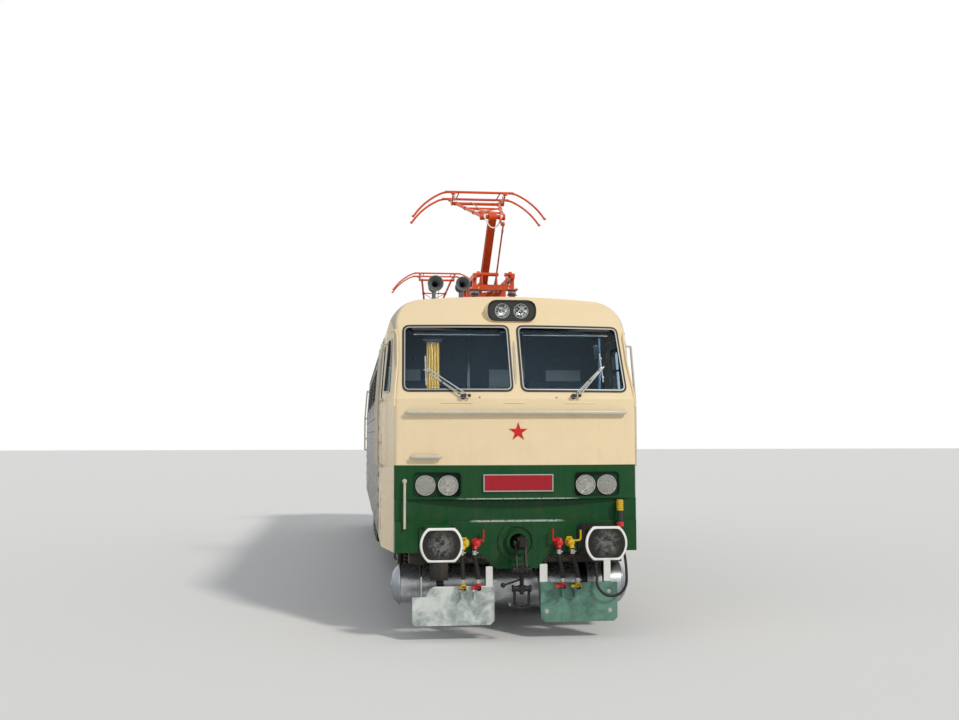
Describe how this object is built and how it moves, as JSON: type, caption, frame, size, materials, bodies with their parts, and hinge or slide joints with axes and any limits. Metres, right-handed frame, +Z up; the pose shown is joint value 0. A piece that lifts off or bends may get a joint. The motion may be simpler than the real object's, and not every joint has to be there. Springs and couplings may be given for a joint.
{
  "type": "electric locomotive",
  "caption": "Four-axle mainline electric locomotive with cabs at both ends, bowed two-pane fronts, side buffers, snow ploughs and raised single-arm pantographs.",
  "frame": {"origin": "middle of the locomotive, level with the lowest point of the wheel flanges", "axes": "X across the track, Y along it with the front cab at -Y, Z up"},
  "size_m": [3.068, 16.74, 5.7598],
  "materials": {
    "livery": "gloss",
    "side_panels": "satin",
    "roof_paint": "matte",
    "interior_paint": "satin",
    "frame_paint": "satin",
    "glazing": "clear",
    "seal_rubber": "matte",
    "lamp_lens": "gloss",
    "red_enamel": "gloss",
    "rail_paint": "gloss",
    "wiper_metal": "brushed",
    "buffer_steel": "greasy",
    "black_steel": "rough",
    "red_cock": "gloss",
    "yellow_cock": "gloss",
    "hose_rubber": "matte",
    "plug_metal": "gloss",
    "plough_paint": "worn",
    "tank_paint": "satin",
    "desk_paint": "matte",
    "seat_cover": "worn",
    "horn_metal": "satin",
    "insulator_glaze": "glazed",
    "copper_bar": "dull",
    "pantograph_paint": "gloss",
    "wheel_steel": "rolled",
    "bogie_paint": "dusty",
    "star_enamel": "gloss"
  },
  "bodies": {
    "loco_body": {"buffers": "buffer_steel", "cab_bulkheads": "interior_paint", "cab_glass": "glazing", "cab_seats": "seat_cover", "draw_hooks": "black_steel", "driver_desks": "desk_paint", "forehead_lamp_housings": "livery", "front_cab_shell": "livery", "handrails": "rail_paint", "horns": "horn_metal", "hose_heads": "black_steel", "hose_red_left": "hose_rubber", "hose_red_right": "hose_rubber", "hose_yellow_left": "hose_rubber", "hose_yellow_right": "hose_rubber", "jumper_cable": "hose_rubber", "jumper_plug": "plug_metal", "lamps": "lamp_lens", "machine_room_glass": "glazing", "machine_room_walls": "side_panels", "main_reservoirs": "tank_paint", "main_roof": "roof_paint", "number_plates": "red_enamel", "pantograph_bases": "pantograph_paint", "rear_cab_shell": "livery", "red_brake_cocks": "red_cock", "roof_busbar": "copper_bar", "roof_insulators": "insulator_glaze", "screw_couplings": "black_steel", "snow_ploughs": "plough_paint", "stars": "star_enamel", "transformer": "frame_paint", "underfloor_boxes": "frame_paint", "underframe": "frame_paint", "window_seals": "seal_rubber", "wipers": "wiper_metal", "yellow_brake_cocks": "yellow_cock"},
    "front_bogie": {"front_bogie_frame": "bogie_paint", "front_bogie_suspension": "bogie_paint", "front_traction_motors": "bogie_paint"},
    "front_left_door_leaf": {"front_left_door": "livery"},
    "front_right_door_leaf": {"front_right_door": "livery"},
    "front_pantograph_lower_arm": {"front_lower_arm": "pantograph_paint"},
    "front_pantograph_thrust_rod": {"front_thrust_rod": "pantograph_paint"},
    "front_pantograph_upper_arm": {"front_upper_arm": "pantograph_paint"},
    "front_pantograph_head": {"front_head": "pantograph_paint"},
    "rear_bogie": {"rear_bogie_frame": "bogie_paint", "rear_bogie_suspension": "bogie_paint", "rear_traction_motors": "bogie_paint"},
    "rear_left_door_leaf": {"rear_left_door": "livery"},
    "rear_right_door_leaf": {"rear_right_door": "livery"},
    "rear_pantograph_lower_arm": {"rear_lower_arm": "pantograph_paint"},
    "rear_pantograph_thrust_rod": {"rear_thrust_rod": "pantograph_paint"},
    "rear_pantograph_upper_arm": {"rear_upper_arm": "pantograph_paint"},
    "rear_pantograph_head": {"rear_head": "pantograph_paint"},
    "wheelset_1_body": {"wheelset_1": "wheel_steel"},
    "wheelset_2_body": {"wheelset_2": "wheel_steel"},
    "wheelset_3_body": {"wheelset_3": "wheel_steel"},
    "wheelset_4_body": {"wheelset_4": "wheel_steel"}
  },
  "joints": [
    {"name": "front_bogie_yaw", "type": "hinge", "parent": "loco_body", "child": "front_bogie", "pos_m": [0, -4.15, 1], "axis": [0, 0, 1], "range_deg": [-4, 4]},
    {"name": "front_pantograph_raise", "type": "hinge", "parent": "loco_body", "child": "front_pantograph_lower_arm", "pos_m": [0, -4.64, 4.31], "axis": [1, 0, 0], "range_deg": [-26, 30.6]},
    {"name": "front_pantograph_knee", "type": "hinge", "parent": "front_pantograph_lower_arm", "child": "front_pantograph_upper_arm", "pos_m": [0, -5.73, 5.09], "axis": [1, 0, 0], "range_deg": [-42.96, 36.52]},
    {"name": "front_pantograph_head_tilt", "type": "hinge", "parent": "front_pantograph_upper_arm", "child": "front_pantograph_head", "pos_m": [0, -3.99, 5.63], "axis": [1, 0, 0], "range_deg": [-10.52, 12.36]},
    {"name": "front_pantograph_rod_swing", "type": "hinge", "parent": "loco_body", "child": "front_pantograph_thrust_rod", "pos_m": [0.118, -5.025, 4.24], "axis": [1, 0, 0], "range_deg": [-29.61, 34.83]},
    {"name": "rear_bogie_yaw", "type": "hinge", "parent": "loco_body", "child": "rear_bogie", "pos_m": [0, 4.15, 1], "axis": [0, 0, 1], "range_deg": [-4, 4]},
    {"name": "rear_pantograph_raise", "type": "hinge", "parent": "loco_body", "child": "rear_pantograph_lower_arm", "pos_m": [0, 4.64, 4.31], "axis": [-1, 0, 0], "range_deg": [-26, 30.6]},
    {"name": "rear_pantograph_knee", "type": "hinge", "parent": "rear_pantograph_lower_arm", "child": "rear_pantograph_upper_arm", "pos_m": [0, 5.73, 5.09], "axis": [-1, 0, 0], "range_deg": [-42.96, 36.52]},
    {"name": "rear_pantograph_head_tilt", "type": "hinge", "parent": "rear_pantograph_upper_arm", "child": "rear_pantograph_head", "pos_m": [0, 3.99, 5.63], "axis": [-1, 0, 0], "range_deg": [-10.52, 12.36]},
    {"name": "rear_pantograph_rod_swing", "type": "hinge", "parent": "loco_body", "child": "rear_pantograph_thrust_rod", "pos_m": [-0.118, 5.025, 4.24], "axis": [-1, 0, 0], "range_deg": [-29.61, 34.83]},
    {"name": "wheelset_1_spin", "type": "hinge", "parent": "front_bogie", "child": "wheelset_1_body", "pos_m": [0, -5.75, 0.655], "axis": [1, 0, 0], "continuous": true},
    {"name": "wheelset_2_spin", "type": "hinge", "parent": "front_bogie", "child": "wheelset_2_body", "pos_m": [0, -2.55, 0.655], "axis": [1, 0, 0], "continuous": true},
    {"name": "wheelset_3_spin", "type": "hinge", "parent": "rear_bogie", "child": "wheelset_3_body", "pos_m": [0, 2.55, 0.655], "axis": [1, 0, 0], "continuous": true},
    {"name": "wheelset_4_spin", "type": "hinge", "parent": "rear_bogie", "child": "wheelset_4_body", "pos_m": [0, 5.75, 0.655], "axis": [1, 0, 0], "continuous": true},
    {"name": "front_left_door_swing", "type": "hinge", "parent": "loco_body", "child": "front_left_door_leaf", "pos_m": [-1.35, -6.432, 2.5], "axis": [0, 0, 1], "range_deg": [0, 90]},
    {"name": "front_right_door_swing", "type": "hinge", "parent": "loco_body", "child": "front_right_door_leaf", "pos_m": [1.35, -6.432, 2.5], "axis": [0, 0, -1], "range_deg": [0, 90]},
    {"name": "rear_right_door_swing", "type": "hinge", "parent": "loco_body", "child": "rear_right_door_leaf", "pos_m": [1.35, 6.432, 2.5], "axis": [0, 0, 1], "range_deg": [0, 90]},
    {"name": "rear_left_door_swing", "type": "hinge", "parent": "loco_body", "child": "rear_left_door_leaf", "pos_m": [-1.35, 6.432, 2.5], "axis": [0, 0, -1], "range_deg": [0, 90]}
  ],
  "couplings": [
    {"joint": "front_pantograph_knee", "follows": "front_pantograph_raise", "ratio": -1.399},
    {"joint": "front_pantograph_head_tilt", "follows": "front_pantograph_raise", "ratio": 0.399},
    {"joint": "front_pantograph_rod_swing", "follows": "front_pantograph_raise", "ratio": 1.1332},
    {"joint": "rear_pantograph_knee", "follows": "rear_pantograph_raise", "ratio": -1.399},
    {"joint": "rear_pantograph_head_tilt", "follows": "rear_pantograph_raise", "ratio": 0.399},
    {"joint": "rear_pantograph_rod_swing", "follows": "rear_pantograph_raise", "ratio": 1.1332}
  ]
}
